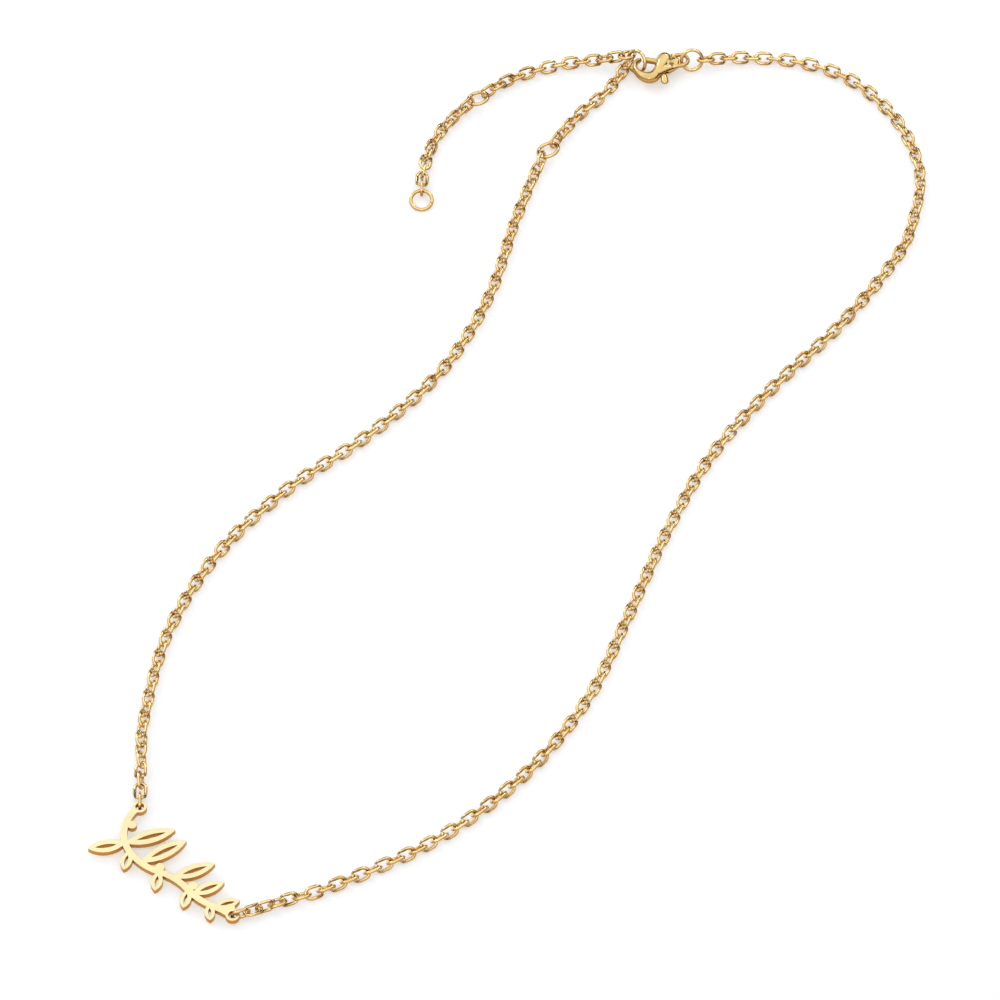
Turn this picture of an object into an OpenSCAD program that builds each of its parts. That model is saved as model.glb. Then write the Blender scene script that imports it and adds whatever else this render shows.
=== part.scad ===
// Nameplate necklace: an openwork bar pendant, an oval cable chain, an extender
// with an end ring, and a lobster claw clasp whose lever turns on a pin.
// It lies on a table. Z is up, the nameplate is at the front and the clasp at
// the back. The origin is on the table, under the middle of the whole necklace.
// All sizes are in millimetres and all angles in degrees.

/* [Chain links] */
// Length of the opening in a link
link_opening_l = 2.1; // [2.08:0.01:2.3]
// Width of the opening in a link
link_opening_w = 1.2; // [1.15:0.01:1.5]
// Width of a link's band on its flat side
link_band = 0.45; // [0.35:0.01:0.55]
// Thickness of a link
link_t = 0.45; // [0.35:0.01:0.5]
// Least gap between a link and what it passes through
link_gap = 0.18; // [0.16:0.01:0.2]
// Angle that the links are rolled to either side
link_roll = 45; // [40:1:50]
// How far the roll of a link strays from that angle
link_stray = 3; // [0:1:5]

/* [Jump rings] */
// Wire that the jump rings are bent from
ring_wire = 0.55; // [0.45:0.01:0.6]
// Inner diameter of a jump ring and of the end ring
ring_id = 2.7; // [2.5:0.1:3.4]
// Inner diameter of the ring that the clasp hooks into
hook_ring_id = 2.9; // [2.8:0.1:3.4]

/* [Nameplate] */
// Length from one chain hole to the other, along the baseline
plate_l = 21.9; // [18:0.1:28]
// Thickness of the plate
plate_t = 0.9; // [0.7:0.05:0.95]
// Width of the stem
stem_w = 1.0; // [0.8:0.05:1.3]
// Diameter of the chain holes
plate_hole_d = 1.2; // [1.1:0.05:1.6]
// Wall round the chain holes
plate_hole_wall = 0.42; // [0.35:0.01:0.5]
// Length of the longest leaf
leaf_l = 7.4; // [6:0.1:8]
// Width of the widest leaf
leaf_w = 2.3; // [1.9:0.05:2.6]
// Width of the slit along the middle of the widest leaf
leaf_slit = 0.6; // [0.4:0.05:0.8]
// Diameter of the berries
berry_d = 1.4; // [1.2:0.1:1.8]

/* [Clasp] */
// Distance from the clasp's eye to the middle of its hook
clasp_reach = 5.5; // [5.2:0.1:6.2]
// Width of the opening in the eye
eye_id = 1.6; // [1.5:0.05:1.8]
// Width of the wall round the eye
eye_wall = 0.6; // [0.5:0.05:0.7]
// Inner diameter of the hook
hook_id = 2.4; // [2.3:0.1:2.8]
// Thickness of the hook's bar, seen from above
hook_bar = 0.95; // [0.8:0.05:1.0]
// Height of the hook's bar
hook_h = 1.5; // [1.2:0.1:1.6]
// Diameter of the round cheek that holds the lever's pin
cheek_d = 2.7; // [2.6:0.1:3]
// Thickness of the lever
lever_t = 0.8; // [0.6:0.05:0.85]
// Width of the lever's gate
gate_w = 0.8; // [0.6:0.05:0.9]
// Length of the thumb arm, from the pin to the middle of its knob
thumb_l = 3.2; // [3:0.1:3.6]
// Diameter of the thumb knob
knob_d = 1.4; // [1.2:0.1:1.5]
// Diameter of the pin that the lever turns on
pin_d = 0.6; // [0.5:0.05:0.7]
// Gap between the pin and the lever's hole, all round
pin_gap = 0.05; // [0.03:0.01:0.08]
// Gap between the lever and the body, on every side
lever_gap = 0.12; // [0.1:0.01:0.15]
// Angle that the lever opens
lever_open = 14; // [8:1:14]

/* [Hidden] */

GOLD = [0.83, 0.66, 0.36];
PLATE_GOLD = [0.96, 0.84, 0.52];
smooth_fn = 48;

// A link's outer size, and the farthest that two links may be apart.
link_l = link_opening_l + 2 * link_band;
link_w = link_opening_w + 2 * link_band;
link_pitch_most = 2 * inner_reach(link_t / 2) - link_gap;

// Where the parts lie, before the whole is centred on the origin. The plate's
// own origin is where the baseline crosses the middle between its chain holes.
plate_left_share = [-0.4865, 0.2507];
plate_right_share = [0.5135, -0.0630];
clasp_at = [-28.9, 165.7];
clasp_heading = 229;
clasp_lift = 0.43;
hook_ring_from_hook = [-1.83, -0.12, 0.08];
hook_ring_heading = -11;
hook_ring_incline = 64;
eye_ring_heading = 40;
eye_ring_incline = -60;
left_ring_at = [-35.3, 139.3];
left_ring_heading = 94;
extender_ring_at = [-50.2, 141.4];
extender_ring_heading = 256;
end_ring_at = [-45.3, 120.0];
end_ring_heading = 305;
loose_ring_incline = 20;

// The chosen points that each run of chain passes through.
left_route = [
    [-15.5, 12], [-20, 18.5], [-26.5, 32.5], [-29.3, 48], [-28.2, 63.5],
    [-24.5, 79], [-23, 94.5], [-25.5, 110], [-31, 124.5], [-33.5, 132]
];
left_upper_route = [[-35.6, 145], [-35.5, 149], [-35, 153], [-35, 156.5]];
extender_upper_route = [[-39.5, 158.5], [-43.5, 155], [-46.5, 151], [-48.8, 146.5]];
extender_lower_route = [[-50.9, 137], [-50.9, 132.5], [-49.8, 128], [-48, 124]];
right_route = [
    [15.5, 5], [20, 12], [26.8, 26.5], [30.2, 42.5], [29.8, 58.5], [26, 74],
    [21.8, 89.5], [18.9, 105.5], [19, 121.5], [20.4, 137.5], [19.9, 153.5],
    [17.8, 161], [14, 168.5], [8, 174], [1, 177.3], [-7, 178.5], [-14.7, 176.6],
    [-21.5, 172.4]
];
route_steps = 10;

// How the chain behaves near its ends: over this length it untwists, and over
// this length it comes down from a raised ring.
twist_run = 10;
lift_run = 13;
stray_step = 97;
table_gap = 0.02;
// The share of the path's slope that the last link of a run takes.
end_slope = 0.8;

// Distance from a link's middle to the inner edge of its rounded end, at a
// sideways distance from the link's own axis.
function inner_reach(y) =
    (link_opening_l - link_opening_w) / 2 + sqrt(pow(link_opening_w / 2, 2) - y * y);

// The three axes of something turned by roll, then slope, then heading.
function axes(roll, slope, heading) =
    let (
        u = [cos(slope) * cos(heading), cos(slope) * sin(heading), sin(slope)],
        side = [-sin(heading), cos(heading), 0],
        over = cross(u, side),
        v = side * cos(roll) + over * sin(roll)
    )
    [u, v, cross(u, v)];

// A ring is [centre, heading, slope, incline, radius of the wire's middle].
function ring_point(ring, angle) =
    let (a = axes(ring[3], ring[2], ring[1]))
    ring[0] + ring[4] * (cos(angle) * a[0] + sin(angle) * a[1]);

// The direction of a ring's wire at an angle round it.
function ring_wire_at(ring, angle) =
    let (a = axes(ring[3], ring[2], ring[1]))
    -sin(angle) * a[0] + cos(angle) * a[1];

// A smooth curve through points, and the distance along it.
function blend_point(a, b, c, d, t) =
    (2 * b + (c - a) * t + (2 * a - 5 * b + 4 * c - d) * t * t
        + (3 * b - a - 3 * c + d) * t * t * t) / 2;
function curve(p) =
    let (last = len(p) - 1)
    concat(
        [for (i = [0 : last - 1], k = [0 : route_steps - 1])
            blend_point(
                i > 0 ? p[i - 1] : 2 * p[0] - p[1], p[i], p[i + 1],
                i < last - 1 ? p[i + 2] : 2 * p[last] - p[last - 1], k / route_steps)],
        [p[last]]);
function along(p) =
    [for (i = 0, s = 0; i < len(p); s = i < len(p) - 1 ? s + norm(p[i + 1] - p[i]) : s, i = i + 1) s];
function flat(p) = [p[0], p[1]];

// A link looks the same after half a turn, so a twist is brought near zero.
function half_turn(a) = a - 180 * round(a / 180);
function fade(s, run) = max(0, 1 - s / run);
function rest_height(roll) = link_w / 2 * abs(sin(roll)) + link_t / 2 * abs(cos(roll)) + table_gap;

// The roll of a link that stands square to a wire, and runs along a path.
function square_roll(wire, path) =
    let (side = [-path[1], path[0]] / norm(path))
    atan2(-wire[0] * side[0] - wire[1] * side[1], wire[2]);

// The links of one run of chain, each [position, roll, slope, heading].
// Each end is [point, distance to the first link's middle, direction of the wire].
function links(start, route, end) =
    let (
        c = curve(concat([flat(start[0])], route, [flat(end[0])])),
        s = along(c),
        xs = [for (i = [0 : len(c) - 1]) [s[i], c[i][0]]],
        ys = [for (i = [0 : len(c) - 1]) [s[i], c[i][1]]],
        total = s[len(s) - 1],
        span = total - start[1] - end[1],
        roll_0 = square_roll(start[2], route[0] - flat(start[0])),
        roll_1 = square_roll(end[2], flat(end[0]) - route[len(route) - 1]),
        first = abs(half_turn(roll_0 - link_roll)) > 45 ? -1 : 1,
        least = ceil(span / link_pitch_most) + 1,
        odd = abs(half_turn(roll_1 - first * link_roll * pow(-1, least - 1))) > 45,
        n = odd ? least + 1 : least,
        pitch = span / (n - 1),
        twist_0 = half_turn(roll_0 - first * link_roll),
        twist_1 = half_turn(roll_1 - first * link_roll * pow(-1, n - 1)),
        twist = [for (i = [0 : n - 1])
            twist_0 * fade(i * pitch, twist_run) + twist_1 * fade(span - i * pitch, twist_run)],
        roll = [for (i = [0 : n - 1])
            first * link_roll * pow(-1, i) + twist[i]
                + (i > 0 && i < n - 1 ? link_stray * sin(stray_step * i) : 0)],
        lift_0 = max(0, start[0][2] - rest_height(link_roll + abs(twist_0))),
        lift_1 = max(0, end[0][2] - rest_height(link_roll + abs(twist_1))),
        pos = [for (i = [0 : n - 1])
            let (d = start[1] + i * pitch)
            [lookup(d, xs), lookup(d, ys),
                max(rest_height(roll[i]), rest_height(link_roll + abs(twist[i]))
                    + lift_0 * pow(fade(i * pitch, lift_run), 2)
                    + lift_1 * pow(fade(span - i * pitch, lift_run), 2))]]
    )
    [for (i = [0 : n - 1])
        let (d = (i < n - 1 ? pos[i + 1] : end[0]) - (i > 0 ? pos[i - 1] : start[0]))
        [pos[i], roll[i], atan2(d[2], norm(flat(d))) * (i < n - 1 ? 1 : end_slope),
            atan2(d[1], d[0])]];

// Heights: the plate and the clasp.
plate_z = (link_w - plate_t) / 2;
clasp_z = cheek_d / 2 + clasp_lift;

// The chain holes of the plate, the slack of a link there, and how far from a hole's middle the first
// link's middle lies.
plate_left = [plate_left_share[0] * plate_l, plate_left_share[1] * plate_l, link_w / 2];
plate_right = [plate_right_share[0] * plate_l, plate_right_share[1] * plate_l, link_w / 2];
plate_slack = 0.04;
plate_reach = sqrt(pow(plate_hole_d / 2, 2) - pow(link_t / 2, 2)) + inner_reach(plate_t / 2) - link_gap
    - plate_slack;

// The clasp's own points, measured from the middle of its eye.
hook_r = (hook_id + hook_bar) / 2;
hook_mid = [clasp_reach, 0.1];
pin_mid = [clasp_reach - 2.5, -0.2];
cheek_mid = [clasp_reach - 2.9, -0.85];
shoulder_mid = [clasp_reach - 2.1, 1.1];
shoulder_r = 0.85;
root_angle = 118;
root_mid = hook_mid + hook_r * [cos(root_angle), sin(root_angle)];
root_r = 0.86;
taper_in = 0.2;
pole_angle = 35;
tip_angle = -72;
tip_mid = hook_mid + hook_r * [cos(tip_angle), sin(tip_angle)];
tip_start = -80;
eye_l = 2.2;
eye_h = 0.7;
arm_start = 0.9;
arm_r = 0.2;
pin_h = 1.8;
pivot_r = 0.7;
// The gate stops this far short of the middle of the hook's tip, and points
// this much beside it.
gate_short = 0.3;
gate_turn = -1;
gate_end_r = norm(tip_mid - pin_mid) - gate_short;
gate_angle = atan2(tip_mid[1] - pin_mid[1], tip_mid[0] - pin_mid[0]) + gate_turn;
gate_cut_angle = 60;
gate_cut_w = 1;
// The slot for the lever.
slot_h = lever_t + 2 * lever_gap;
slot_half = gate_w / 2 + lever_gap;
thumb_angle = 78;

function clasp_point(p) =
    let (a = axes(0, 0, clasp_heading))
    [clasp_at[0], clasp_at[1], clasp_z] + p[0] * a[0] + p[1] * a[1];
function heading(angle) = [cos(angle), sin(angle), 0];

// The rings.
ring_r = (ring_id + ring_wire) / 2;
hook_ring_r = (hook_ring_id + ring_wire) / 2;
ring_hook = [
    clasp_point(hook_mid) + hook_ring_from_hook,
    hook_ring_heading, 0, hook_ring_incline, hook_ring_r
];
eye_ring_slope = 3;
eye_ring_in = 0.1;
ring_eye = [
    clasp_point([0, 0]) + eye_ring_in * heading(eye_ring_heading)
        + ring_r * [cos(eye_ring_slope) * cos(eye_ring_heading),
            cos(eye_ring_slope) * sin(eye_ring_heading), -sin(eye_ring_slope)],
    eye_ring_heading + 180, eye_ring_slope, eye_ring_incline, ring_r
];
loose_ring_lift = 0.15;
loose_ring_z = ring_r * sin(loose_ring_incline) + ring_wire / 2 + loose_ring_lift;
ring_left = [
    [left_ring_at[0], left_ring_at[1], loose_ring_z], left_ring_heading, 0, -loose_ring_incline, ring_r
];
ring_extender = [
    [extender_ring_at[0], extender_ring_at[1], loose_ring_z],
    extender_ring_heading, 0, loose_ring_incline, ring_r
];
end_ring_slope = -12;
ring_end = [
    [end_ring_at[0], end_ring_at[1], ring_wire / 2 + ring_r * sin(-end_ring_slope)],
    end_ring_heading, end_ring_slope, 0, ring_r
];

// The ends of the runs of chain. A link stands square to the wire that it holds,
// and a link that holds its wire at a slant is drawn in by some slack.
ring_reach = link_opening_l / 2 - ring_wire / 2 - link_gap;
ring_slack = 0.03;
function ring_end_of(ring, angle, slack = ring_slack) =
    [ring_point(ring, angle), ring_reach - slack, ring_wire_at(ring, angle)];
function plate_end_of(hole, next) =
    [hole, plate_reach, [hole[1] - next[1], next[0] - hole[0], 0] / norm(flat(hole) - next)];
hook_ring_left = 221;
hook_ring_extender = 175;
extender_slack = 0.24;
left_slack = 0.22;
links_left = links(plate_end_of(plate_left, left_route[0]), left_route, ring_end_of(ring_left, 180));
links_left_upper = links(
    ring_end_of(ring_left, 0), left_upper_route, ring_end_of(ring_hook, hook_ring_left, left_slack));
links_extender_upper = links(
    ring_end_of(ring_hook, hook_ring_extender, extender_slack), extender_upper_route,
    ring_end_of(ring_extender, 180));
links_extender_lower = links(ring_end_of(ring_extender, 0), extender_lower_route, ring_end_of(ring_end, 180));
links_right = links(plate_end_of(plate_right, right_route[0]), right_route, ring_end_of(ring_eye, 180));

// The plate's stem is a row of arcs, each [turn to the left, radius as a share
// of the plate's length]. It starts at the left chain hole.
stem_start = -104;
stem_arcs = [[84, 0.27], [36, 0.40], [-32, 0.42], [28, 0.42], [-14, 0.62]];
stem_step = 7;
function stem_from(k) =
    k <= 0 ? [flat(plate_left), stem_start]
        : let (p = stem_from(k - 1)) stem_at(p, stem_arcs[k - 1][0], stem_arcs[k - 1][1] * plate_l);
// A point and heading after a turn of an arc that starts at p.
function stem_at(p, turn, r) =
    let (side = turn > 0 ? 1 : -1, a = p[1])
    [p[0] + side * r * [sin(a + turn) - sin(a), cos(a) - cos(a + turn)], a + turn];
function stem_place(k, share) = stem_at(stem_from(k), share * stem_arcs[k][0], stem_arcs[k][1] * plate_l);
stem_places = [for (k = [0 : len(stem_arcs) - 1])
    let (steps = ceil(abs(stem_arcs[k][0]) / stem_step))
    for (i = [(k == 0 ? 0 : 1) : steps]) stem_place(k, i / steps)];
function stem_edge(side) =
    [for (p = stem_places) p[0] + side * stem_w / 2 * [-sin(p[1]), cos(p[1])]];

// Leaves: [arc of the stem, share along that arc, direction, length as a share
// of the longest leaf, width as a share of the widest leaf].
leaves = [
    [0, 0.80, 54, 1.00, 1.00],
    [1, 0.42, 66, 1.00, 1.00],
    [2, 0.42, 58, 0.86, 0.95],
    [3, 0.22, 60, 0.66, 0.85],
    [4, 0.10, 52, 0.50, 0.75],
    [0, 0.80, 226, 0.72, 0.95],
    [0, 0.97, -66, 0.44, 0.75],
    [1, 0.98, -62, 0.44, 0.75],
    [3, 0.02, -66, 0.42, 0.72],
    [3, 0.90, -50, 0.36, 0.66]
];
// Berries: [arc of the stem, share along that arc, direction].
berries = [[0, 0.36, 0], [1, 0.86, 70], [2, 0.98, 72], [4, 0.62, 75]];
berry_sink = 0.25;
lens_steps = 8;
tip_r = 0.14;
tip_steps = 4;
slit_share = 0.56;
slit_start = 0.24;

// The outline of a pointed leaf, a long and b wide between its tips, and grown
// by w all round. The second half is the first one turned about the middle.
function lens(a, b, w) =
    let (
        r = (a * a + b * b) / (4 * b),
        half = asin(a / (2 * r)),
        top = [for (k = [0 : lens_steps])
            let (t = 90 + half - 2 * half * k / lens_steps)
            [a / 2, b / 2 - r] + (r + w) * [cos(t), sin(t)]],
        tip = [for (k = [1 : tip_steps - 1])
            let (t = (90 - half) * (1 - 2 * k / tip_steps)) [a, 0] + w * [cos(t), sin(t)]],
        side = w == 0 ? [for (k = [0 : lens_steps - 1]) top[k]] : concat(top, tip)
    )
    concat(side, [for (p = side) [a - p[0], -p[1]]]);

// The highest and lowest reach of the necklace, to centre it.
function link_reach(link, k) =
    let (a = axes(link[1], link[2], link[3]))
    (link_l - link_w) / 2 * abs(a[0][k]) + link_w / 2 * norm([a[0][k], a[1][k]])
        + link_t / 2 * abs(a[2][k]);
all_links = concat(links_left, links_left_upper, links_extender_upper, links_extender_lower, links_right);
leaf_tips = [for (row = leaves)
    let (p = stem_place(row[0], row[1]))
    p[0] + row[3] * leaf_l * [cos(row[2]), sin(row[2])]];
low = [for (k = [0, 1]) min(concat(
    [for (l = all_links) l[0][k] - link_reach(l, k)], [for (p = leaf_tips) p[k] - tip_r]))];
high = [for (k = [0, 1]) max([for (l = all_links) l[0][k] + link_reach(l, k)])];
middle = [for (k = [0, 1]) round(5 * (low[k] + high[k])) / 10];

module in_place() translate([-middle[0], -middle[1], 0]) children();

module link() linear_extrude(link_t, center = true) difference() {
    slot_shape(link_l, link_w);
    slot_shape(link_opening_l, link_opening_w);
}

module slot_shape(l, w) {
    square([l - w, w], center = true);
    for (x = [-1, 1]) translate([x * (l - w) / 2, 0]) circle(d = w, $fn = smooth_fn);
}

module chain(poses) color(GOLD) in_place()
    for (p = poses) translate(p[0]) rotate([p[1], -p[2], p[3]]) link();

module torus(r, wire) rotate_extrude($fn = smooth_fn) translate([r, 0]) circle(d = wire, $fn = smooth_fn);

module ring(pose) color(GOLD) in_place()
    translate(pose[0]) rotate([pose[3], -pose[2], pose[1]]) torus(pose[4], ring_wire);

module leaf_shape(l, w) difference() {
    translate([tip_r, 0]) polygon(lens(l - 2 * tip_r, w - 2 * tip_r, tip_r));
    translate([slit_start * l, 0]) polygon(lens(slit_share * l, leaf_slit * w / leaf_w, 0));
}

module stem_shape()
    polygon(concat(stem_edge(1), [for (i = [len(stem_places) - 1 : -1 : 0]) stem_edge(-1)[i]]));

module nameplate() color(PLATE_GOLD) in_place() translate([0, 0, plate_z]) difference() {
    union() {
        linear_extrude(plate_t) stem_shape();
        for (row = leaves) {
            p = stem_place(row[0], row[1]);
            translate(p[0]) rotate(row[2]) linear_extrude(plate_t) leaf_shape(row[3] * leaf_l, row[4] * leaf_w);
        }
        for (row = berries) {
            p = stem_place(row[0], row[1]);
            translate(p[0]) rotate(row[2]) translate([(stem_w + berry_d) / 2 - berry_sink, 0, 0])
                cylinder(d = berry_d, h = plate_t, $fn = smooth_fn);
        }
        for (p = [plate_left, plate_right]) translate(flat(p))
            cylinder(d = plate_hole_d + 2 * plate_hole_wall, h = plate_t, $fn = smooth_fn);
    }
    for (p = [plate_left, plate_right]) translate([p[0], p[1], -plate_t])
        cylinder(d = plate_hole_d, h = 3 * plate_t, $fn = smooth_fn);
}

module clasp_place() in_place() translate([clasp_at[0], clasp_at[1], clasp_z]) rotate(clasp_heading) children();

// A cone from one point of the clasp to another.
module taper(from, to, r1, r2) {
    d = to - from;
    translate([from[0], from[1], 0]) rotate([0, 90, atan2(d[1], d[0])])
        cylinder(h = norm(d), r1 = r1, r2 = r2, $fn = smooth_fn);
}

// The wedge that an arm sweeps as it opens, a long and half wide on each side.
module arm_sweep(angle, a, half) {
    last = angle + lever_open;
    across = half * [sin(angle), -cos(angle)];
    last_across = half * [-sin(last), cos(last)];
    polygon([
        across, across + a * [cos(angle), sin(angle)],
        last_across + a * [cos(last), sin(last)], last_across
    ]);
}

module hook_section() {
    square([hook_bar, hook_h - hook_bar], center = true);
    for (y = [-1, 1]) translate([0, y * (hook_h - hook_bar) / 2]) circle(d = hook_bar, $fn = smooth_fn);
}

module eye() linear_extrude(eye_h, center = true) translate([(eye_l - eye_id) / 2, 0]) difference() {
    slot_shape(eye_l + 2 * eye_wall, eye_id + 2 * eye_wall);
    slot_shape(eye_l, eye_id);
}

module clasp_body() color(GOLD) clasp_place() {
    difference() {
        union() {
            eye();
            taper([arm_start, (eye_id + eye_wall) / 2], shoulder_mid, arm_r, shoulder_r - taper_in);
            blob(cheek_mid, cheek_d / 2);
            blob(shoulder_mid, shoulder_r);
            blob(root_mid, root_r);
            taper(cheek_mid, root_mid, cheek_d / 2 - taper_in, root_r - taper_in);
            taper(shoulder_mid, root_mid, shoulder_r - taper_in, root_r - taper_in);
            translate([hook_mid[0], hook_mid[1], 0]) rotate(tip_start)
                rotate_extrude(angle = root_angle - tip_start, $fn = smooth_fn)
                    translate([hook_r, 0]) hook_section();
        }
        translate([pin_mid[0], pin_mid[1], 0]) {
            cylinder(r = pivot_r + lever_gap, h = slot_h, center = true, $fn = smooth_fn);
            linear_extrude(slot_h, center = true) arm_sweep(gate_angle, gate_end_r, slot_half);
            linear_extrude(slot_h, center = true) arm_sweep(thumb_angle, 2 * thumb_l, slot_half);
            rotate(gate_angle - gate_cut_angle / 2) rotate_extrude(angle = gate_cut_angle, $fn = smooth_fn)
                translate([gate_end_r + lever_gap - gate_cut_w, -hook_h]) square([gate_cut_w, 2 * hook_h]);
        }
    }
    translate([pin_mid[0], pin_mid[1], 0]) cylinder(d = pin_d, h = pin_h, center = true, $fn = smooth_fn);
}

// A ball whose poles lie in the clasp's plane.
module blob(at, r) translate([at[0], at[1], 0]) rotate([0, 90, pole_angle]) sphere(r = r, $fn = smooth_fn);

module clasp_lever() color(GOLD) clasp_place() translate([pin_mid[0], pin_mid[1], 0]) {
    linear_extrude(lever_t, center = true) difference() {
        union() {
            circle(r = pivot_r, $fn = smooth_fn);
            intersection() {
                circle(r = gate_end_r, $fn = smooth_fn);
                rotate(gate_angle) translate([0, -gate_w / 2]) square([2 * gate_end_r, gate_w]);
            }
            rotate(thumb_angle) translate([0, -gate_w / 2]) square([thumb_l, gate_w]);
        }
        circle(d = pin_d + 2 * pin_gap, $fn = smooth_fn);
    }
    rotate(thumb_angle) translate([thumb_l, 0, 0]) sphere(d = knob_d, $fn = smooth_fn);
}

nameplate();
chain(links_left);  // chain_left
chain(links_left_upper);  // chain_left_upper
chain(links_right);  // chain_right
chain(links_extender_upper);  // extender_upper
chain(links_extender_lower);  // extender_lower
ring(ring_hook);  // jump_ring_hook
ring(ring_eye);  // jump_ring_eye
ring(ring_left);  // jump_ring_left
ring(ring_extender);  // jump_ring_extender
ring(ring_end);  // end_ring
clasp_body();
clasp_lever();
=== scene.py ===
"""A gold nameplate necklace that lies on a pale table, built around its packed CAD frame."""
import math

import bmesh
import bpy
import numpy as np
from mathutils import Matrix, Vector


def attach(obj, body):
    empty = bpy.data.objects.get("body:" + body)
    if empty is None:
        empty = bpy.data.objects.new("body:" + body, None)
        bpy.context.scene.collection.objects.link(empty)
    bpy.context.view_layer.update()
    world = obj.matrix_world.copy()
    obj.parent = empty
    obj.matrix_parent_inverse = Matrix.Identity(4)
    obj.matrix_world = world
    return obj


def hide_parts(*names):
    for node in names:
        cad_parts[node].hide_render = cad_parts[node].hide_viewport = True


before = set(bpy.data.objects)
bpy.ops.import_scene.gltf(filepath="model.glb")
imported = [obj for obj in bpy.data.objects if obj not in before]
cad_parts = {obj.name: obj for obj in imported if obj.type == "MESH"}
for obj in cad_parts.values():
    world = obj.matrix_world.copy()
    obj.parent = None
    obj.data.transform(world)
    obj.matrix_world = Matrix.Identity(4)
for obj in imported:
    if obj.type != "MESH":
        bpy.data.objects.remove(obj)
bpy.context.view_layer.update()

bl_info = {
    "name": "Nameplate necklace",
    "version": (1, 0, 0),
    "blender": (4, 5, 0),
    "location": "3D View > Sidebar > Necklace",
    "description": "Rounds the links, rings, plate and clasp of a necklace, and lights it on a table",
    "category": "Object",
}

MM = 0.001
BODY = "necklace"
LEVER = "lever"
CHAIN_RUNS = ("chain_left", "chain_left_upper", "chain_right", "extender_upper", "extender_lower")
# Points nearer to each other than this were one point before they were rounded off.
SAME_POINT = 1e-7

# How much less the sides of a link are pulled out than its ends, which bows them.
BULGE = 0.35
# Each ring's node, and the compass direction of the fine cut where it was bent shut.
RING_CUTS = {
    "jump_ring_hook": 79,
    "jump_ring_eye": 130,
    "jump_ring_left": 184,
    "jump_ring_extender": 166,
    "end_ring": 15,
}
# The soft edge of a ring's cut as a share of its wire, and the fold that counts as an edge there.
CUT_EDGE = 0.12
CUT_FOLD = math.radians(60)
# Sides of the plate's outline shorter than this would make its soft edge run out in spikes.
SHORT_SIDE = 0.04 * MM
# Faces of the plate that fold less than the first are flat together, and more than the second meet in an edge.
FLAT_FOLD = math.radians(0.5)
PLATE_FOLD = math.radians(50)
# A fold up to this one is shaded smooth, on the plate and on the rest.
PLATE_SMOOTH = math.radians(35)
SMOOTH = math.radians(40)

# The middle of the clasp's eye, and the compass direction in which its hook lies.
CLASP_AT = (-0.0186, 0.0783, 0.00178)
CLASP_HEADING = 229
# The clasp is sculpted from balls strung along these paths: x, y, z, radius and half height of each, in
# millimetres from the middle of its eye, with its hook along +X.
BACK_AND_HOOK = [
    (2.48, -0.55, 0.05, 1.30, 1.25), (3.02, 0.12, 0.08, 1.16, 1.15), (3.62, 0.95, 0.06, 0.86, 0.98),
    (4.25, 1.68, -0.02, 0.84, 0.92), (4.95, 2.22, -0.12, 0.95, 0.95), (5.75, 2.26, -0.12, 0.92, 0.92),
    (6.48, 1.90, -0.04, 0.76, 0.82), (7.05, 1.20, 0.00, 0.58, 0.74), (7.32, 0.32, 0.00, 0.46, 0.68),
    (7.20, -0.52, 0.00, 0.41, 0.63), (6.80, -1.12, 0.00, 0.39, 0.58), (6.30, -1.42, 0.00, 0.37, 0.52),
]
SHOULDER = [
    (0.80, 1.10, -0.05, 0.34, 0.36), (1.60, 1.20, -0.12, 0.52, 0.56), (2.30, 1.22, -0.14, 0.74, 0.82),
    (3.20, 1.45, -0.10, 0.80, 0.90), (4.20, 1.80, -0.05, 0.82, 0.88),
]
NECK = [(0.75, -1.10, 0.00, 0.31, 0.36), (1.50, -0.98, 0.05, 0.46, 0.52), (2.30, -0.65, 0.08, 0.95, 1.00)]
EYE_R, EYE_BAR = 1.10, (0.0, 0.31, 0.36)
EYE = [(0.60, EYE_R, *EYE_BAR)] + [
    (-EYE_R * math.sin(math.radians(a)), EYE_R * math.cos(math.radians(a)), *EYE_BAR)
    for a in range(0, 181, 15)] + [(0.60, -EYE_R, *EYE_BAR)]
# The web that closes the neck between the eye and the bulb.
NECK_RIM = [(0.95, -0.75, 0.00, 0.42, 0.42), (0.66, 0.00, 0.00, 0.42, 0.46), (0.95, 0.75, 0.00, 0.42, 0.42)]
NECK_FILL = [(1.30, 0.05, 0.00, 0.80, 0.56), (1.85, 0.10, 0.00, 0.90, 0.76), (2.40, 0.15, 0.00, 1.00, 1.00)]
CLASP_PATHS = (BACK_AND_HOOK, SHOULDER, NECK, NECK_RIM, NECK_FILL, EYE)
# The lever's thumb paddle, strung in the same way from its pin.
THUMB = [
    (3.00, -0.20, 0.00, 0.62, 0.36), (3.20, 0.80, 0.00, 0.36, 0.20), (3.40, 1.90, 0.00, 0.36, 0.20),
    (3.34, 2.72, -0.08, 0.54, 0.38), (3.42, 3.46, -0.16, 0.60, 0.38),
]
# How far apart the balls lie on a path, and the flat steps round one.
BALL_STEP = 0.16
BALL_SIDES = 24
# The lever's pin, the direction, length, width and edge of its gate, and how many degrees it opens.
PIN = (3.0, -0.2, 0.0)
GATE_ANGLE = -24.1
GATE_REACH = 2.95
GATE_SIZE = 0.76
GATE_EDGE = 0.12
LEVER_OPENS = 14
# The room cut in the body for the lever: the hub, the gate's slot, the thumb's margin, and the steps of the travel.
PIVOT_R = 0.82
PIVOT_SIDES = 48
SLOT_SIZE = 1.04
SLOT_REACH = 3.1
THUMB_ROOM = 0.08
TRAVEL_STEPS = 4
TRAVEL_ROUNDS = 2
# Faces narrower than this, in metres, are slivers of the cut.
SLIVER = 0.003 * MM

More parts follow.
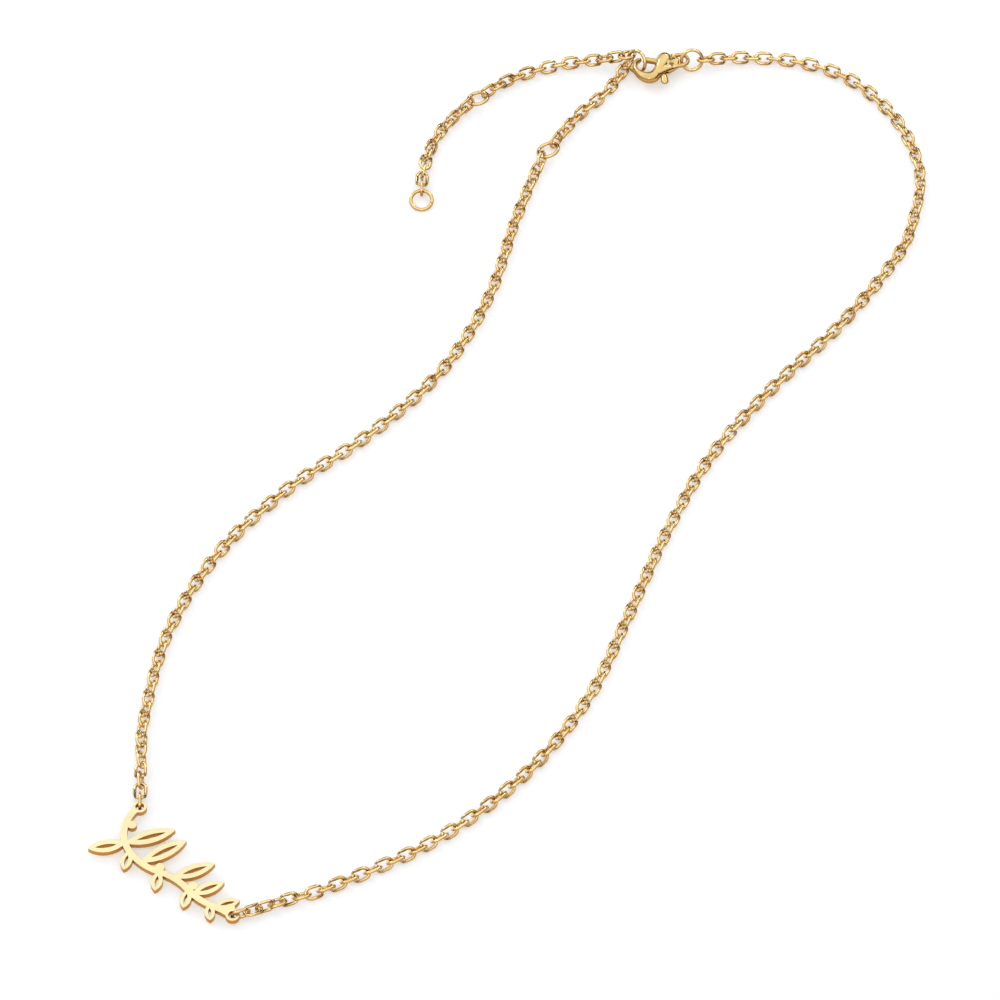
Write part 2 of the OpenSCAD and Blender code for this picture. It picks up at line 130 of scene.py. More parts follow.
# Marks in the gold: where the noise starts and ends to show as a duller patch and as a scratch, and the turn and
# stretch of the scratches.
PATCH_RANGE = (0.38, 0.62)
SCRATCH_RANGE = (0.55, 0.75)
SCRATCH_TURN = (0.4, 0.3, 0.7)
SCRATCH_STRETCH = (1, 0.08, 1)
# Each set of painted shade and wear: the surface's upright share below which it has the painted shade colour of steep
# sides, the share over which it has none of it, patches and scratches per metre, how much rougher a scratch is, and
# the marks' depth in metres.
CHAIN_SHADE_AND_WEAR = (0.1, 0.6, 240, 5200, 0.10, 0.000003)
CLASP_SHADE_AND_WEAR = (0.0, 0.7, 420, 4200, 0.06, 0.000003)
PLATE_SHADE_AND_WEAR = (0.35, 0.8, 160, 6500, 0.10, 0.000012)
# How much rougher the cast clasp is than the wire, and the satin plate's roughness and the share of its colour that
# its duller patches keep.
CAST_ROUGHER = 0.09
SATIN = 0.34
SATIN_DULL = 0.93
# The table's size in metres, its roughness, the marks of its grain per metre and their depth in metres.
TABLE_SIZE = 6
TABLE_ROUGH = 0.7
TABLE_GRAIN = 1500
GRAIN_DEPTH = 0.00001


# Settings

class ChainSettings(bpy.types.PropertyGroup):
    """Sizes of the rounded links"""
    bends: bpy.props.IntProperty(
        name="Bends", description="Flat steps round a whole link", default=16, min=8, max=24, step=4)
    sides: bpy.props.IntProperty(
        name="Sides", description="Flat sides round the wire of a link", default=6, min=5, max=12)
    band: bpy.props.FloatProperty(
        name="Band", description="Width of a link's slightly flattened wire",
        default=0.0005, min=0.0004, max=0.0006, precision=5, unit="LENGTH")
    swell: bpy.props.FloatProperty(
        name="Swell", description="How far the wire's corners stand out past its round section",
        default=1.05, min=1.0, max=1.15, subtype="FACTOR")


class RingSettings(bpy.types.PropertyGroup):
    """Sizes of the jump rings"""
    cut: bpy.props.FloatProperty(
        name="Cut", description="Width of the fine cut where a ring was bent shut",
        default=0.00005, min=0.00001, max=0.0002, precision=5, unit="LENGTH")
    steps: bpy.props.IntProperty(
        name="Steps", description="Steps round a ring", default=64, min=24, max=128)
    sides: bpy.props.IntProperty(
        name="Sides", description="Sides round a ring's wire", default=14, min=8, max=32)


class PlateSettings(bpy.types.PropertyGroup):
    """Edges and colours of the nameplate"""
    edge: bpy.props.FloatProperty(
        name="Edge", description="Width of the soft edge round the plate",
        default=0.00005, min=0.00001, max=0.0002, precision=5, unit="LENGTH")
    face: bpy.props.FloatVectorProperty(
        name="Face", description="Colour of the satin face", subtype="COLOR", size=3,
        default=(1.0, 0.86, 0.50), min=0, max=1)
    # Painted shade: the plate's walls are painted this darker colour, standing in for the darker reflections on them.
    painted_shade: bpy.props.FloatVectorProperty(
        name="Wall", description="Colour of the polished walls", subtype="COLOR", size=3,
        default=(0.55, 0.24, 0.045), min=0, max=1)


class ClaspSettings(bpy.types.PropertyGroup):
    """How finely the clasp is sculpted"""
    grain: bpy.props.FloatProperty(
        name="Grain", description="Size of the steps that the clasp is sculpted in",
        default=0.000045, min=0.00002, max=0.0001, precision=6, unit="LENGTH")
    body_rounds: bpy.props.IntProperty(
        name="Body rounds", description="Smoothing rounds on the clasp's body", default=22, min=0, max=80)
    lever_rounds: bpy.props.IntProperty(
        name="Lever rounds", description="Smoothing rounds on the clasp's lever", default=12, min=0, max=80)


class GoldSettings(bpy.types.PropertyGroup):
    """The polished gold of the chain, the rings and the clasp"""
    bright: bpy.props.FloatVectorProperty(
        name="Bright gold", description="Colour of the clean polished metal", subtype="COLOR", size=3,
        default=(1.0, 0.765, 0.365), min=0, max=1)
    deep: bpy.props.FloatVectorProperty(
        name="Deep gold", description="Colour of the slightly duller patches", subtype="COLOR", size=3,
        default=(0.88, 0.59, 0.215), min=0, max=1)
    # Painted shade: the steep sides of the chain and rings are painted this darker colour, standing in for the dark
    # reflections along them.
    side: bpy.props.FloatVectorProperty(
        name="Side gold", description="Colour of the steep sides of the chain and rings", subtype="COLOR", size=3,
        default=(0.44, 0.19, 0.04), min=0, max=1)
    # Painted shade: the steep sides of the clasp are painted this darker colour.
    clasp_side_painted_shade: bpy.props.FloatVectorProperty(
        name="Clasp side", description="Colour of the steep sides of the clasp", subtype="COLOR", size=3,
        default=(0.42, 0.195, 0.045), min=0, max=1)
    # Painted shade: the clasp's gold is painted darker than the wire's by this share.
    clasp_painted_shade: bpy.props.FloatProperty(
        name="Clasp shade", description="How bright the cast clasp is beside the drawn wire", default=0.86,
        min=0.5, max=1.0, subtype="FACTOR")
    gloss: bpy.props.FloatProperty(
        name="Roughness", description="Roughness of the clean metal", default=0.14, min=0, max=1,
        subtype="FACTOR")


class StageSettings(bpy.types.PropertyGroup):
    """The table and the light"""
    table: bpy.props.FloatVectorProperty(
        name="Table", description="Colour of the table", subtype="COLOR", size=3,
        default=(0.72, 0.745, 0.775), min=0, max=1)
    glow: bpy.props.FloatProperty(
        name="Glow", description="Light of the table itself, as of a light table", default=0.33, min=0, max=2)
    lens: bpy.props.FloatProperty(
        name="Lens", description="Focal length of the camera, in millimetres", default=233.4, min=50, max=400)
    sky: bpy.props.FloatProperty(
        name="Sky", description="Strength of the light from all round", default=1.12, min=0, max=5)


SETTINGS = {
    "necklace_chain": ChainSettings,
    "necklace_rings": RingSettings,
    "necklace_plate": PlateSettings,
    "necklace_clasp": ClaspSettings,
    "necklace_gold": GoldSettings,
    "necklace_stage": StageSettings,
}


# Helpers for meshes

def select_only(obj):
    """Selects one object and makes it the active one."""
    bpy.ops.object.select_all(action="DESELECT")
    obj.select_set(True)
    bpy.context.view_layer.objects.active = obj


def select_points(obj, test):
    """Opens a mesh in edit mode with only those points selected whose place passes a test."""
    select_only(obj)
    bpy.ops.object.mode_set(mode="EDIT")
    bpy.ops.mesh.select_mode(type="VERT")
    bpy.ops.mesh.select_all(action="DESELECT")
    mesh = bmesh.from_edit_mesh(obj.data)
    for point in mesh.verts:
        point.select = test(point.co)
    mesh.select_flush_mode()
    bmesh.update_edit_mesh(obj.data)


def object_mode():
    bpy.ops.object.mode_set(mode="OBJECT")


def apply_modifier(obj, kind, **values):
    """Adds a modifier with these values and applies it."""
    select_only(obj)
    made = obj.modifiers.new(kind.title(), kind)
    for name, value in values.items():
        setattr(made, name, value)
    bpy.ops.object.modifier_apply(modifier=made.name)


def merged_copy(node, name):
    """A copy of a CAD node as one closed mesh, with its loose triangles merged."""
    obj = bpy.data.objects.new(name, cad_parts[node].data.copy())
    bpy.context.collection.objects.link(obj)
    obj.data.materials.clear()
    select_only(obj)
    bpy.ops.mesh.customdata_custom_splitnormals_clear()
    bpy.ops.object.mode_set(mode="EDIT")
    bpy.ops.mesh.select_all(action="SELECT")
    bpy.ops.mesh.remove_doubles(threshold=SAME_POINT)
    object_mode()
    return obj


def surface_frame(mesh):
    """The middle of a closed surface, its axes as columns from the longest to the shortest, and its sizes on them."""
    points = np.empty(len(mesh.vertices) * 3)
    mesh.vertices.foreach_get("co", points)
    points = points.reshape(-1, 3)
    mesh.calc_loop_triangles()
    corners = np.empty(len(mesh.loop_triangles) * 3, int)
    mesh.loop_triangles.foreach_get("vertices", corners)
    triangles = points[corners.reshape(-1, 3)]
    side_a, side_b = triangles[:, 1] - triangles[:, 0], triangles[:, 2] - triangles[:, 0]
    area = np.linalg.norm(np.cross(side_a, side_b), axis=1) / 2
    middle = (triangles.mean(1) * area[:, None]).sum(0) / area.sum()
    triangles = triangles - middle
    total = triangles.sum(1)
    spread = np.einsum("t,tij,tik->jk", area, triangles, triangles)
    spread += np.einsum("t,tj,tk->jk", area, total, total)
    axes = np.linalg.eigh(spread)[1][:, ::-1]
    if np.linalg.det(axes) < 0:
        axes[:, 2] *= -1
    along = (points - middle) @ axes
    return middle, axes, np.ptp(along, axis=0)


def placed(axes, middle):
    """The matrix that turns and moves a piece from the origin to its place."""
    return Matrix.Translation(Vector(middle)) @ Matrix(axes.tolist()).to_4x4()


def settle(obj, matrix):
    """Moves a piece's mesh to its place, and leaves its object at the origin."""
    obj.matrix_world = matrix
    select_only(obj)
    bpy.ops.object.transform_apply(location=True, rotation=True, scale=True)


def finish_piece(obj, node, material, body=BODY):
    """Gives a piece its material, lets it stand for a CAD node and ride on a body."""
    obj.data.materials.clear()
    obj.data.materials.append(material)
    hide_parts(node)
    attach(obj, body)


# Materials

def polish_group():
    """Wear that all the gold shares: duller patches, fine scratches and a slight waviness."""
    name = "Polish wear"
    if name in bpy.data.node_groups:
        return bpy.data.node_groups[name]
    group = bpy.data.node_groups.new(name, "ShaderNodeTree")
    sockets = [
        ("Bright", "INPUT", "NodeSocketColor"), ("Deep", "INPUT", "NodeSocketColor"),
        ("Patch scale", "INPUT", "NodeSocketFloat"), ("Scratch scale", "INPUT", "NodeSocketFloat"),
        ("Roughness", "INPUT", "NodeSocketFloat"), ("Spread", "INPUT", "NodeSocketFloat"),
        ("Colour", "OUTPUT", "NodeSocketColor"), ("Roughness", "OUTPUT", "NodeSocketFloat"),
        ("Height", "OUTPUT", "NodeSocketFloat"),
    ]
    for label, side, kind in sockets:
        group.interface.new_socket(name=label, in_out=side, socket_type=kind)
    add, link = group.nodes.new, group.links.new
    given, out = add("NodeGroupInput"), add("NodeGroupOutput")
    place = add("ShaderNodeTexCoord")

    patches = add("ShaderNodeTexNoise")
    patches.inputs["Detail"].default_value = 3
    link(place.outputs["Object"], patches.inputs["Vector"])
    link(given.outputs["Patch scale"], patches.inputs["Scale"])
    share = add("ShaderNodeMapRange")
    share.inputs["From Min"].default_value, share.inputs["From Max"].default_value = PATCH_RANGE
    link(patches.outputs["Fac"], share.inputs["Value"])
    colour = add("ShaderNodeMix")
    colour.data_type = "RGBA"
    link(share.outputs["Result"], colour.inputs["Factor"])
    link(given.outputs["Bright"], colour.inputs["A"])
    link(given.outputs["Deep"], colour.inputs["B"])
    link(colour.outputs["Result"], out.inputs["Colour"])

    turned = add("ShaderNodeMapping")
    turned.inputs["Rotation"].default_value = SCRATCH_TURN
    turned.inputs["Scale"].default_value = SCRATCH_STRETCH
    link(place.outputs["Object"], turned.inputs["Vector"])
    scratches = add("ShaderNodeTexNoise")
    scratches.inputs["Detail"].default_value = 2
    link(turned.outputs["Vector"], scratches.inputs["Vector"])
    link(given.outputs["Scratch scale"], scratches.inputs["Scale"])
    mark = add("ShaderNodeMapRange")
    mark.inputs["From Min"].default_value, mark.inputs["From Max"].default_value = SCRATCH_RANGE
    link(scratches.outputs["Fac"], mark.inputs["Value"])
    rough = add("ShaderNodeMath")
    rough.operation = "MULTIPLY_ADD"
    link(mark.outputs["Result"], rough.inputs[0])
    link(given.outputs["Spread"], rough.inputs[1])
    link(given.outputs["Roughness"], rough.inputs[2])
    link(rough.outputs["Value"], out.inputs["Roughness"])
    height = add("ShaderNodeMath")
    height.operation = "SUBTRACT"
    link(patches.outputs["Fac"], height.inputs[0])
    link(mark.outputs["Result"], height.inputs[1])
    link(height.outputs["Value"], out.inputs["Height"])
    return group


def gold(name, bright, deep, painted_shade, rough, shade_and_wear):
    """A gold with its own colours, roughness and wear, whose steep sides take a darker colour as painted shade,
    standing in for the dark reflections along them.
    """
    if name in bpy.data.materials:
        return bpy.data.materials[name]
    shade_from, shade_to, patch, scratch, spread, depth = shade_and_wear
    material = bpy.data.materials.new(name)
    material.use_nodes = True
    add, link = material.node_tree.nodes.new, material.node_tree.links.new
    shader = material.node_tree.nodes["Principled BSDF"]
    shader.inputs["Metallic"].default_value = 1
    wear = add("ShaderNodeGroup")
    wear.node_tree = polish_group()
    wear.inputs["Bright"].default_value = (*bright, 1)
    wear.inputs["Deep"].default_value = (*deep, 1)
    wear.inputs["Patch scale"].default_value = patch
    wear.inputs["Scratch scale"].default_value = scratch
    wear.inputs["Roughness"].default_value = rough
    wear.inputs["Spread"].default_value = spread
    link(wear.outputs["Roughness"], shader.inputs["Roughness"])
    relief = add("ShaderNodeBump")
    relief.inputs["Strength"].default_value = 1
    relief.inputs["Distance"].default_value = depth
    link(wear.outputs["Height"], relief.inputs["Height"])
    link(relief.outputs["Normal"], shader.inputs["Normal"])
    # Painted shade: the steeper the surface in its own axes, the more it takes the darker shade colour, in place of
    # the dark reflections its sides would show.
    place = add("ShaderNodeTexCoord")
    parts = add("ShaderNodeSeparateXYZ")
    upright = add("ShaderNodeMath")
    upright.operation = "ABSOLUTE"
    share = add("ShaderNodeMapRange")
    share.inputs["From Min"].default_value = shade_from
    share.inputs["From Max"].default_value = shade_to
    side_shade_mix = add("ShaderNodeMix")
    side_shade_mix.data_type = "RGBA"
    side_shade_mix.inputs["A"].default_value = (*painted_shade, 1)
    link(place.outputs["Normal"], parts.inputs["Vector"])
    link(parts.outputs["Z"], upright.inputs[0])
    link(upright.outputs["Value"], share.inputs["Value"])
    link(share.outputs["Result"], side_shade_mix.inputs["Factor"])
    link(wear.outputs["Colour"], side_shade_mix.inputs["B"])
    link(side_shade_mix.outputs["Result"], shader.inputs["Base Color"])
    return material


def chain_gold():
    s = bpy.context.scene.necklace_gold
    return gold("Chain gold", s.bright, s.deep, s.side, s.gloss, CHAIN_SHADE_AND_WEAR)


def clasp_gold():
    s = bpy.context.scene.necklace_gold
    # The clasp's colours are darkened by the painted shade share.
    bright, deep = ([c * s.clasp_painted_shade for c in colour] for colour in (s.bright, s.deep))
    return gold("Clasp gold", bright, deep, s.clasp_side_painted_shade, s.gloss + CAST_ROUGHER, CLASP_SHADE_AND_WEAR)


def plate_gold():
    s = bpy.context.scene.necklace_plate
    deep = [c * SATIN_DULL for c in s.face]
    # The plate's walls take the painted shade colour.
    return gold("Plate gold", s.face, deep, s.painted_shade, SATIN, PLATE_SHADE_AND_WEAR)


def table_white():
    """A matt white sheet with a faint grain, lit a little from within."""
    s = bpy.context.scene.necklace_stage
    material = bpy.data.materials.new("Table white")
    material.use_nodes = True
    add, link = material.node_tree.nodes.new, material.node_tree.links.new
    shader = material.node_tree.nodes["Principled BSDF"]
    shader.inputs["Base Color"].default_value = (*s.table, 1)
    shader.inputs["Roughness"].default_value = TABLE_ROUGH
    shader.inputs["Emission Color"].default_value = (1, 1, 1, 1)
    shader.inputs["Emission Strength"].default_value = s.glow
    grain = add("ShaderNodeTexNoise")
    grain.inputs["Scale"].default_value = TABLE_GRAIN
    relief = add("ShaderNodeBump")
    relief.inputs["Distance"].default_value = GRAIN_DEPTH
    link(grain.outputs["Fac"], relief.inputs["Height"])
    link(relief.outputs["Normal"], shader.inputs["Normal"])
    return material


# Pieces

def make_link(length, width, wire):
    """One rounded link at the origin, its length along X, made by pulling the halves of a torus apart."""
    s = bpy.context.scene.necklace_chain
    half_step = math.pi / s.bends
    radius = (width - s.band) / 2 / math.cos(half_step)
    bpy.ops.mesh.primitive_torus_add(
        major_segments=s.bends, minor_segments=s.sides, major_radius=radius,
        minor_radius=s.band / 2 * s.swell, location=(0, 0, 0), rotation=(0, 0, half_step))
    link = bpy.context.active_object
    link.scale.z = wire / s.band
    bpy.ops.object.transform_apply(rotation=True, scale=True)
    pull = (length - width) / 2
    for step in range(s.bends // 2):
        bend = math.pi * (step + 0.5) / (s.bends / 2)
        share = (1 - BULGE * (1 - abs(math.cos(bend)))) * math.copysign(1, math.cos(bend))
        select_points(link, lambda co: abs(math.atan2(abs(co.y), co.x) - bend) < half_step / 2)
        bpy.ops.transform.translate(value=(share * pull, 0, 0))
        object_mode()
    select_only(link)
    bpy.ops.object.shade_smooth()
    return link


def make_ring(radius, wire, cut):
    """One ring round the origin, spun from a round section, with a fine cut at its +X side."""
    s = bpy.context.scene.necklace_rings
    bpy.ops.mesh.primitive_circle_add(
        vertices=s.sides, radius=wire / 2, location=(radius, 0, 0), rotation=(math.pi / 2, 0, 0))
    ring = bpy.context.active_object
    bpy.ops.object.transform_apply(location=True, rotation=True)
    bpy.ops.object.mode_set(mode="EDIT")
    bpy.ops.mesh.select_all(action="SELECT")
    bpy.ops.mesh.spin(steps=s.steps, angle=math.tau - cut / radius, center=(0, 0, 0), axis=(0, 0, 1))
    bpy.ops.mesh.select_all(action="SELECT")
    bpy.ops.mesh.fill_holes(sides=0)
    bpy.ops.mesh.select_all(action="SELECT")
    bpy.ops.mesh.normals_make_consistent(inside=False)
    object_mode()
    apply_modifier(
        ring, "BEVEL", width=wire * CUT_EDGE, segments=3, limit_method="ANGLE", angle_limit=CUT_FOLD)
    bpy.ops.object.shade_smooth_by_angle(angle=SMOOTH)
    return ring


class NECKLACE_OT_chain(bpy.types.Operator):
    """Rounds every link of the five runs of chain"""
    bl_idname = "necklace.chain"
    bl_label = "Chain links"

    def execute(self, context):
        for node in CHAIN_RUNS:
            rough = merged_copy(node, "rough_links")
            bpy.ops.object.mode_set(mode="EDIT")
            bpy.ops.mesh.separate(type="LOOSE")
            object_mode()
            loose = list(context.selected_objects)
            frames = [surface_frame(o.data) for o in loose]
            for o in loose:
                bpy.data.objects.remove(o)
            length, width, wire = frames[0][2]
            link = make_link(length, width, wire)
            copies = []
            for middle, axes, _ in frames:
                piece = bpy.data.objects.new("link", link.data.copy())
                context.collection.objects.link(piece)
                piece.matrix_world = placed(axes, middle)
                copies.append(piece)
            bpy.data.objects.remove(link)
            select_only(copies[0])
            for piece in copies:
                piece.select_set(True)
            bpy.ops.object.transform_apply(location=True, rotation=True, scale=True)
            bpy.ops.object.join()
            run = context.active_object
            run.name = node + "_links"
            finish_piece(run, node, chain_gold())
        return {"FINISHED"}


class NECKLACE_OT_rings(bpy.types.Operator):
    """Bends the jump rings and the end ring, each with its fine cut"""
    bl_idname = "necklace.rings"
    bl_label = "Jump rings"

    def execute(self, context):
        for node, bearing in RING_CUTS.items():
            middle, axes, size = surface_frame(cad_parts[node].data)
            wire = size[2]
            ring = make_ring((size[0] - wire) / 2, wire, context.scene.necklace_rings.cut)
            up = Vector(axes[:, 2])
            turn = math.radians(bearing)
            out = Vector((math.cos(turn), math.sin(turn), 0))
            out = (out - out.dot(up) * up).normalized()
            side = up.cross(out)
            settle(ring, placed(np.array([out, side, up]).T, middle))
            ring.name = node + "_wire"
            finish_piece(ring, node, chain_gold())
        return {"FINISHED"}


class NECKLACE_OT_plate(bpy.types.Operator):
    """Softens the edges of the nameplate and gives it its satin face"""
    bl_idname = "necklace.plate"
    bl_label = "Nameplate"

    def execute(self, context):
        plate = merged_copy("nameplate", "plate")
        bpy.ops.object.mode_set(mode="EDIT")
        bpy.ops.mesh.select_all(action="SELECT")
        bpy.ops.mesh.remove_doubles(threshold=SHORT_SIDE)
        bpy.ops.mesh.select_all(action="SELECT")
        bpy.ops.mesh.dissolve_limited(angle_limit=FLAT_FOLD)
        object_mode()
        bpy.ops.object.shade_smooth_by_angle(angle=PLATE_SMOOTH)
        apply_modifier(
            plate, "BEVEL", width=context.scene.necklace_plate.edge, segments=2, limit_method="ANGLE",
            angle_limit=PLATE_FOLD, use_clamp_overlap=False, harden_normals=True)
        finish_piece(plate, "nameplate", plate_gold())
        return {"FINISHED"}


def add_ball(x, y, z, r, half_height):
    """A ball flattened or stretched upright, at a place in the clasp's own millimetres."""
    bpy.ops.mesh.primitive_uv_sphere_add(
        segments=BALL_SIDES, ring_count=BALL_SIDES // 2, radius=MM, location=(0, 0, 0))
    ball = bpy.context.active_object
    ball.scale = (r, r, half_height)
    ball.location = Vector((x, y, z)) * MM
    return ball


def add_bar(angle, reach, width, height, bevel=0.0):
    """A bar from the lever's pin in one direction, in millimetres, with its edges rounded where asked."""
    bpy.ops.mesh.primitive_cube_add(size=MM, location=(0, 0, 0))
    bar = bpy.context.active_object
    bar.scale = (reach, width, height)
    turn = math.radians(angle)
    middle = Vector(PIN) + Vector((math.cos(turn), math.sin(turn), 0)) * reach / 2
    bar.location, bar.rotation_euler = middle * MM, (0, 0, turn)
    bpy.ops.object.transform_apply(location=True, rotation=True, scale=True)
    if bevel:
        apply_modifier(bar, "BEVEL", width=bevel * MM, segments=4)
    return bar


def string_balls(path):
    """Balls close together on a smooth curve through the balls of a path, in place and in size."""
    rows = [np.array(ball) for ball in (path[0], *path, path[-1])]
    balls = [add_ball(*path[0])]
    for before, start, end, after in zip(rows, rows[1:], rows[2:], rows[3:]):
        steps = max(2, round(math.dist(start[:3], end[:3]) / BALL_STEP))
        for k in range(1, steps + 1):
            t = k / steps
            balls.append(add_ball(*(
                start + t / 2 * (end - before) + t ** 2 / 2 * (2 * before - 5 * start + 4 * end - after)
                + t ** 3 / 2 * (3 * start - before - 3 * end + after))))
    return balls


def turned_about_pin(path, angle, room):
    """A path turned about the lever's pin, with its balls made larger by this much room."""
    turn = Matrix.Rotation(math.radians(angle), 3, "Z")
    return [
        (*(Vector(PIN) + turn @ (Vector(ball[:3]) - Vector(PIN))), ball[3] + room, ball[4] + room)
        for ball in path]


def join_all(parts, name):
    """Joins objects to one, with its place in its mesh."""
    select_only(parts[0])
    for part in parts:
        part.select_set(True)
    bpy.ops.object.transform_apply(location=True, rotation=True, scale=True)
    bpy.ops.object.join()
    made = bpy.context.active_object
    made.name = name
    return made


def flow_together(piece, rounds):
    """Melts joined forms to one skin and smooths it, as on a cast and tumbled part."""
    apply_modifier(piece, "REMESH", mode="VOXEL", voxel_size=bpy.context.scene.necklace_clasp.grain)
    apply_modifier(piece, "SMOOTH", factor=0.5, iterations=rounds)


def cut_away(piece, cutter):
    """Takes a form out of a piece, and clears the slivers that the cut leaves along its edge."""
    apply_modifier(piece, "BOOLEAN", object=cutter, operation="DIFFERENCE", solver="EXACT")
    bpy.data.objects.remove(cutter)
    bpy.ops.object.mode_set(mode="EDIT")
    bpy.ops.mesh.select_all(action="SELECT")
    bpy.ops.mesh.quads_convert_to_tris()
    bpy.ops.mesh.select_all(action="SELECT")
    bpy.ops.mesh.remove_doubles(threshold=SLIVER)
    bpy.ops.mesh.select_all(action="SELECT")
    bpy.ops.mesh.dissolve_degenerate(threshold=SLIVER)
    object_mode()


def to_clasp(piece):
    """Moves a piece from the clasp's own axes to its place on the table."""
    settle(piece, Matrix.Translation(CLASP_AT) @ Matrix.Rotation(math.radians(CLASP_HEADING), 4, "Z"))


def lever_travel():
    """The room that the lever sweeps through in the body as it opens."""
    bpy.ops.mesh.primitive_cylinder_add(
        vertices=PIVOT_SIDES, radius=PIVOT_R * MM, depth=SLOT_SIZE * MM, location=Vector(PIN) * MM)
    forms = [bpy.context.active_object]
    for k in range(TRAVEL_STEPS + 1):
        turn = LEVER_OPENS * k / TRAVEL_STEPS
        forms.append(add_bar(GATE_ANGLE + turn, SLOT_REACH, SLOT_SIZE, SLOT_SIZE))
        forms += string_balls(turned_about_pin(THUMB, turn, THUMB_ROOM))
    travel = join_all(forms, "lever_travel")
    flow_together(travel, TRAVEL_ROUNDS)
    return travel


class NECKLACE_OT_clasp(bpy.types.Operator):
    """Sculpts the body of the lobster clasp: eye, neck, bulb, shoulder and hook, and its lever slot"""
    bl_idname = "necklace.clasp"
    bl_label = "Clasp body"

    def execute(self, context):
        balls = [b for path in CLASP_PATHS for b in string_balls(path)]
        body = join_all(balls, "clasp_shell")
        flow_together(body, context.scene.necklace_clasp.body_rounds)
        cut_away(body, lever_travel())
        select_only(body)
        bpy.ops.object.shade_smooth_by_angle(angle=SMOOTH)
        to_clasp(body)
        finish_piece(body, "clasp_body", clasp_gold())
        return {"FINISHED"}


class NECKLACE_OT_lever(bpy.types.Operator):
    """Sculpts the sprung lever of the clasp: its gate and its thumb paddle"""
    bl_idname = "necklace.lever"
    bl_label = "Clasp lever"

    def execute(self, context):
        gate = add_bar(GATE_ANGLE, GATE_REACH, GATE_SIZE, GATE_SIZE, bevel=GATE_EDGE)
        lever = join_all(string_balls(THUMB) + [gate], "clasp_trigger")
        flow_together(lever, context.scene.necklace_clasp.lever_rounds)
        select_only(lever)
        bpy.ops.object.shade_smooth()
        to_clasp(lever)
        finish_piece(lever, "clasp_lever", clasp_gold(), LEVER)
        return {"FINISHED"}


# Stage

# Each light: name, place, the point it looks at, width, height and power in watts.
LIGHTS = [
    ("Back softbox", (-0.14, 1.02, 0.78), (0, 0, 0), 0.22, 0.22, 0.9),
    ("Left softbox", (-1.00, 0.16, 0.60), (0, 0, 0), 0.25, 0.25, 1.3),
    ("Front strip", (0.75, -0.95, 1.10), (0, 0, 0), 0.15, 0.40, 0.8),
]
# The sky: brightness by height above the horizon, from 0 to 1, on the bright side and on the dark side.
BRIGHT_SIDE = [(0.0, 0.30), (0.30, 0.42), (0.52, 0.95), (0.70, 1.0)]
DARK_SIDE = [(0.0, 0.015), (0.42, 0.015), (0.62, 0.95), (0.75, 1.0)]
# The direction of the dark side, and the shares of that direction from which and to which it darkens.
DARK_TOWARDS = (0.35, 0.94, 0.0)
DARK_FROM, DARK_TO = -0.05, 0.40
# The table lies a hair lower than the lowest rounded link.
TABLE_Z = -0.000015
# The camera's place, the compass direction in which it looks, how many degrees it looks down, and how far it sees.
CAMERA_AT = (0.3485, -0.4746, 0.7640)
CAMERA_ALONG = (-0.588, 0.809)
CAMERA_DOWN = 52.86
CAMERA_SEES = (0.01, 20)


def towards(start, end):
    """The turn that points a light or camera from one point to another."""
    return (Vector(end) - Vector(start)).to_track_quat("-Z", "Y").to_euler()


def sky(strength):
    """Light from all round: white overhead, and dark near the horizon on one side, as beside a black flag."""
    world = bpy.data.worlds.new("Studio")
    bpy.context.scene.world = world
    world.use_nodes = True
    add, link = world.node_tree.nodes.new, world.node_tree.links.new
    background = world.node_tree.nodes["Background"]
    background.inputs["Strength"].default_value = strength
    place, parts = add("ShaderNodeTexCoord"), add("ShaderNodeSeparateXYZ")
    link(place.outputs["Generated"], parts.inputs["Vector"])
    along = add("ShaderNodeVectorMath")
    along.operation = "DOT_PRODUCT"
    along.inputs[1].default_value = DARK_TOWARDS
    link(place.outputs["Generated"], along.inputs[0])
    share = add("ShaderNodeMapRange")
    share.interpolation_type = "SMOOTHSTEP"
    share.inputs["From Min"].default_value = DARK_FROM
    share.inputs["From Max"].default_value = DARK_TO
    link(along.outputs["Value"], share.inputs["Value"])
    mix = add("ShaderNodeMix")
    mix.data_type = "RGBA"
    link(share.outputs["Result"], mix.inputs["Factor"])
    for socket, bands in (("A", BRIGHT_SIDE), ("B", DARK_SIDE)):
        ramp = add("ShaderNodeValToRGB")
        ramp.color_ramp.elements[0].position = bands[0][0]
        ramp.color_ramp.elements[1].position = bands[-1][0]
        for at, _ in bands[1:-1]:
            ramp.color_ramp.elements.new(at)
        for element, (_, value) in zip(ramp.color_ramp.elements, bands):
            element.color = (value, value, value, 1)
        link(parts.outputs["Z"], ramp.inputs["Fac"])
        link(ramp.outputs["Color"], mix.inputs[socket])
    link(mix.outputs["Result"], background.inputs["Color"])


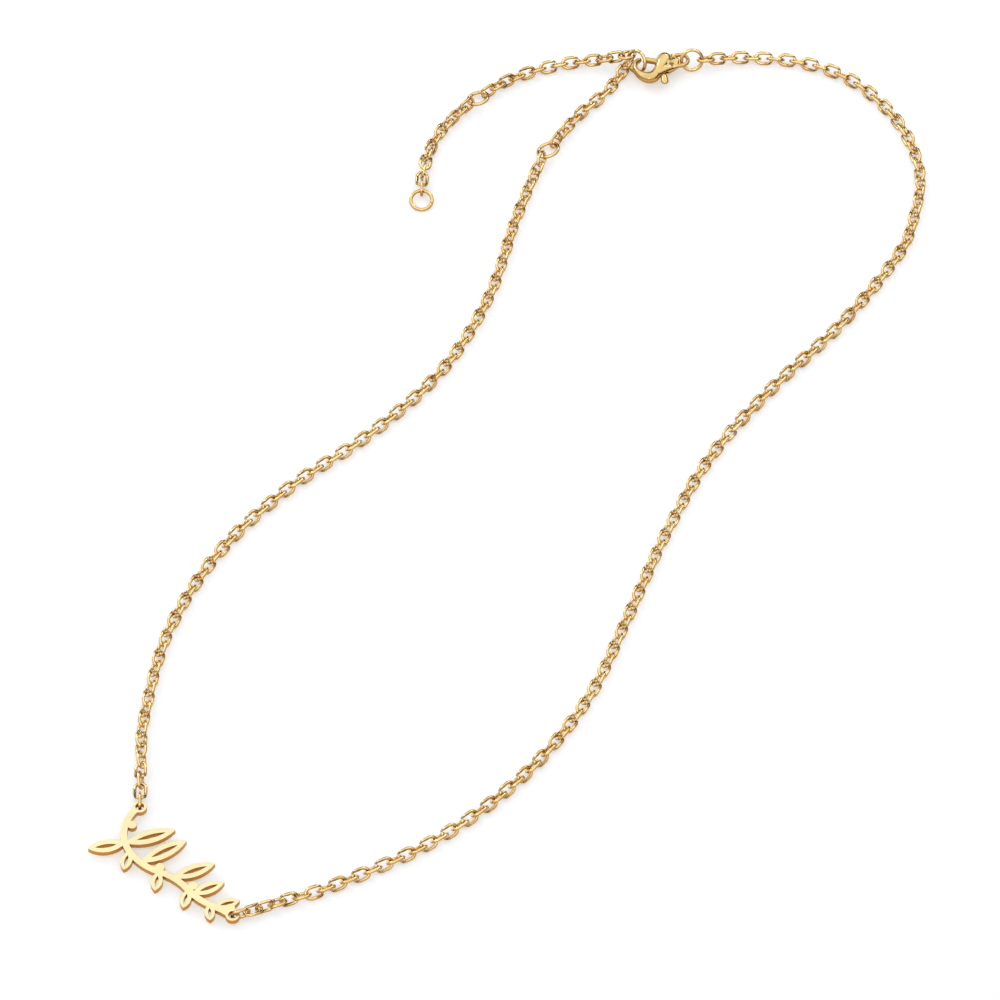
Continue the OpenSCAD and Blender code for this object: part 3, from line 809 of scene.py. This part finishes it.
class NECKLACE_OT_stage(bpy.types.Operator):
    """Sets the table, the lights and the camera"""
    bl_idname = "necklace.stage"
    bl_label = "Table and light"

    def execute(self, context):
        s = context.scene.necklace_stage
        bpy.ops.object.select_all(action="DESELECT")
        bpy.ops.mesh.primitive_plane_add(size=TABLE_SIZE, location=(0, 0, TABLE_Z))
        table = context.active_object
        table.name = "table"
        table.data.materials.append(table_white())
        for name, at, target, width, height, power in LIGHTS:
            bpy.ops.object.light_add(type="AREA", location=at, rotation=towards(at, target))
            lamp = context.active_object
            lamp.name = name
            lamp.data.shape = "RECTANGLE"
            lamp.data.size, lamp.data.size_y, lamp.data.energy = width, height, power
        sky(s.sky)
        down = math.radians(CAMERA_DOWN)
        along = Vector((*CAMERA_ALONG, 0)).normalized() * math.cos(down)
        look = Vector((along.x, along.y, -math.sin(down)))
        bpy.ops.object.camera_add(location=CAMERA_AT, rotation=look.to_track_quat("-Z", "Y").to_euler())
        camera = context.active_object
        camera.data.lens = s.lens
        camera.data.clip_start, camera.data.clip_end = CAMERA_SEES
        context.scene.camera = camera
        context.scene.view_settings.view_transform = "Standard"
        return {"FINISHED"}


class NECKLACE_PT_panel(bpy.types.Panel):
    """The pieces of the necklace and their sizes"""
    bl_idname = "NECKLACE_PT_panel"
    bl_label = "Nameplate necklace"
    bl_space_type = "VIEW_3D"
    bl_region_type = "UI"
    bl_category = "Necklace"

    def draw(self, context):
        for key, kind in SETTINGS.items():
            box = self.layout.box()
            box.label(text=kind.__doc__)
            for name in kind.__annotations__:
                box.prop(getattr(context.scene, key), name)
        for operator in OPERATORS:
            self.layout.operator(operator.bl_idname)


OPERATORS = [
    NECKLACE_OT_chain, NECKLACE_OT_rings, NECKLACE_OT_plate,
    NECKLACE_OT_clasp, NECKLACE_OT_lever, NECKLACE_OT_stage,
]
CLASSES = [*SETTINGS.values(), *OPERATORS, NECKLACE_PT_panel]


def register():
    for kind in CLASSES:
        bpy.utils.register_class(kind)
    for key, kind in SETTINGS.items():
        setattr(bpy.types.Scene, key, bpy.props.PointerProperty(type=kind))


def unregister():
    for key in SETTINGS:
        delattr(bpy.types.Scene, key)
    for kind in reversed(CLASSES):
        bpy.utils.unregister_class(kind)


def main():
    """Builds every piece in order."""
    register()
    bpy.ops.necklace.chain()
    bpy.ops.necklace.rings()
    bpy.ops.necklace.plate()
    bpy.ops.necklace.clasp()
    bpy.ops.necklace.lever()
    bpy.ops.necklace.stage()


if __name__ == "__main__":
    main()
